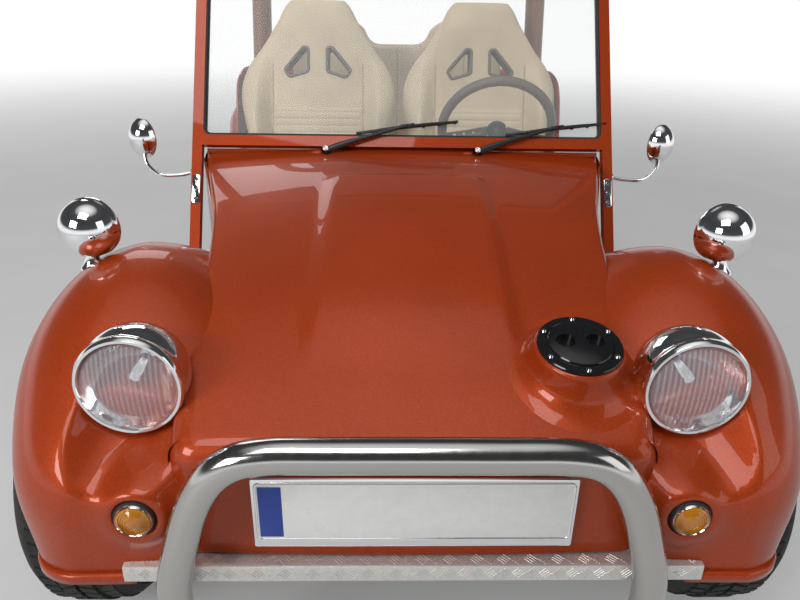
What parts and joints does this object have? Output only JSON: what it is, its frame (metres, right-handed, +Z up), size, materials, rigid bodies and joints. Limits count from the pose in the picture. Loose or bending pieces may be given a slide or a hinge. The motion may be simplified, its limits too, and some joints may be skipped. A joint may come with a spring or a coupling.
{
  "type": "dune buggy",
  "caption": "Open dune buggy with smooth glass-fibre tub, round lamps, bull bar, roll bar, bucket seats and open rear engine.",
  "frame": {"origin": "on the ground under the middle of the vehicle's bounding box", "axes": "+Z up, the front of the vehicle towards -Y, its own left (driver's side) towards +X"},
  "size_m": [1.6816, 3.4479, 1.478],
  "materials": {
    "body_paint": "gloss metallic copper orange",
    "bar_paint": "gloss metallic brown",
    "clear_glass": "clear",
    "black_plastic": "satin",
    "chrome_trim": "polished",
    "amber_lens": "ribbed lens",
    "red_lens": "ribbed lens",
    "stainless": "polished",
    "plain_aluminium": "five-bar tread plate",
    "plate_white": "satin",
    "cream_leather": "soft",
    "black_metal": "satin",
    "chassis_black": "satin",
    "cast_alloy": "as cast",
    "cast_steel": "machined and painted",
    "rim_plastic": "grey-brown",
    "wheel_silver": "silver",
    "tyre_black": "matt"
  },
  "bodies": {
    "chassis": {"hood": "body_paint", "front_fender_left": "body_paint", "front_fender_right": "body_paint", "side_left": "body_paint", "side_right": "body_paint", "rear_fender_left": "body_paint", "rear_fender_right": "body_paint", "rear_tub": "body_paint", "dashboard": "body_paint", "windscreen_frame": "body_paint", "windscreen_glass": "clear_glass", "wipers": "black_plastic", "headlamp_shells": "chrome_trim", "headlamp_lenses": "clear_glass", "indicators": "amber_lens", "bull_bar": "stainless", "tread_strip": "plain_aluminium", "number_plate": "plate_white", "filler_cap": "black_plastic", "mirrors": "chrome_trim", "tail_lamps": "red_lens", "seat_left": "cream_leather", "seat_right": "cream_leather", "rear_bench": "cream_leather", "roll_bar": "bar_paint", "steering_column": "black_metal", "cockpit_controls": "black_metal", "floor_pan": "chassis_black", "front_axle": "chassis_black", "rear_axle": "chassis_black", "engine": "cast_alloy", "fan_shroud": "black_metal", "exhaust": "stainless", "rear_bumper": "stainless"},
    "steering_wheel": {"steering_wheel": "rim_plastic"},
    "track_rods": {"track_rods": "cast_steel"},
    "knuckle_left": {"knuckle_left": "cast_steel"},
    "knuckle_right": {"knuckle_right": "cast_steel"},
    "front_left_wheel": {"wheel_front_left": "wheel_silver", "tyre_front_left": "tyre_black"},
    "front_right_wheel": {"wheel_front_right": "wheel_silver", "tyre_front_right": "tyre_black"},
    "rear_left_wheel": {"wheel_rear_left": "wheel_silver", "tyre_rear_left": "tyre_black"},
    "rear_right_wheel": {"wheel_rear_right": "wheel_silver", "tyre_rear_right": "tyre_black"}
  },
  "joints": [
    {"name": "steer_left", "type": "hinge", "parent": "chassis", "child": "knuckle_left", "pos_m": [0.585, -1.235, 0.317], "axis": [0, 0, 1], "range_deg": [-30, 30]},
    {"name": "spin_front_left", "type": "hinge", "parent": "knuckle_left", "child": "front_left_wheel", "pos_m": [0.658, -1.235, 0.317], "axis": [1, 0, 0], "continuous": true},
    {"name": "spin_rear_left", "type": "hinge", "parent": "chassis", "child": "rear_left_wheel", "pos_m": [0.69, 1.165, 0.335], "axis": [1, 0, 0], "continuous": true},
    {"name": "steer_right", "type": "hinge", "parent": "chassis", "child": "knuckle_right", "pos_m": [-0.585, -1.235, 0.317], "axis": [0, 0, 1], "range_deg": [-30, 30]},
    {"name": "spin_front_right", "type": "hinge", "parent": "knuckle_right", "child": "front_right_wheel", "pos_m": [-0.658, -1.235, 0.317], "axis": [1, 0, 0], "continuous": true},
    {"name": "spin_rear_right", "type": "hinge", "parent": "chassis", "child": "rear_right_wheel", "pos_m": [-0.69, 1.165, 0.335], "axis": [1, 0, 0], "continuous": true},
    {"name": "steering_wheel_turn", "type": "hinge", "parent": "chassis", "child": "steering_wheel", "pos_m": [0.305, -0.32, 0.893], "axis": [0.0372, 0.9026, 0.4289], "range_deg": [-421, 421]},
    {"name": "track_rod_slide", "type": "slide", "parent": "chassis", "child": "track_rods", "axis": [1, 0, 0], "range_m": [-0.066, 0.066]}
  ],
  "couplings": [
    {"joint": "steer_right", "follows": "steer_left", "ratio": 1},
    {"joint": "steering_wheel_turn", "follows": "steer_left", "ratio": 14},
    {"joint": "track_rod_slide", "follows": "steer_left", "m_per_rad": -0.119}
  ]
}
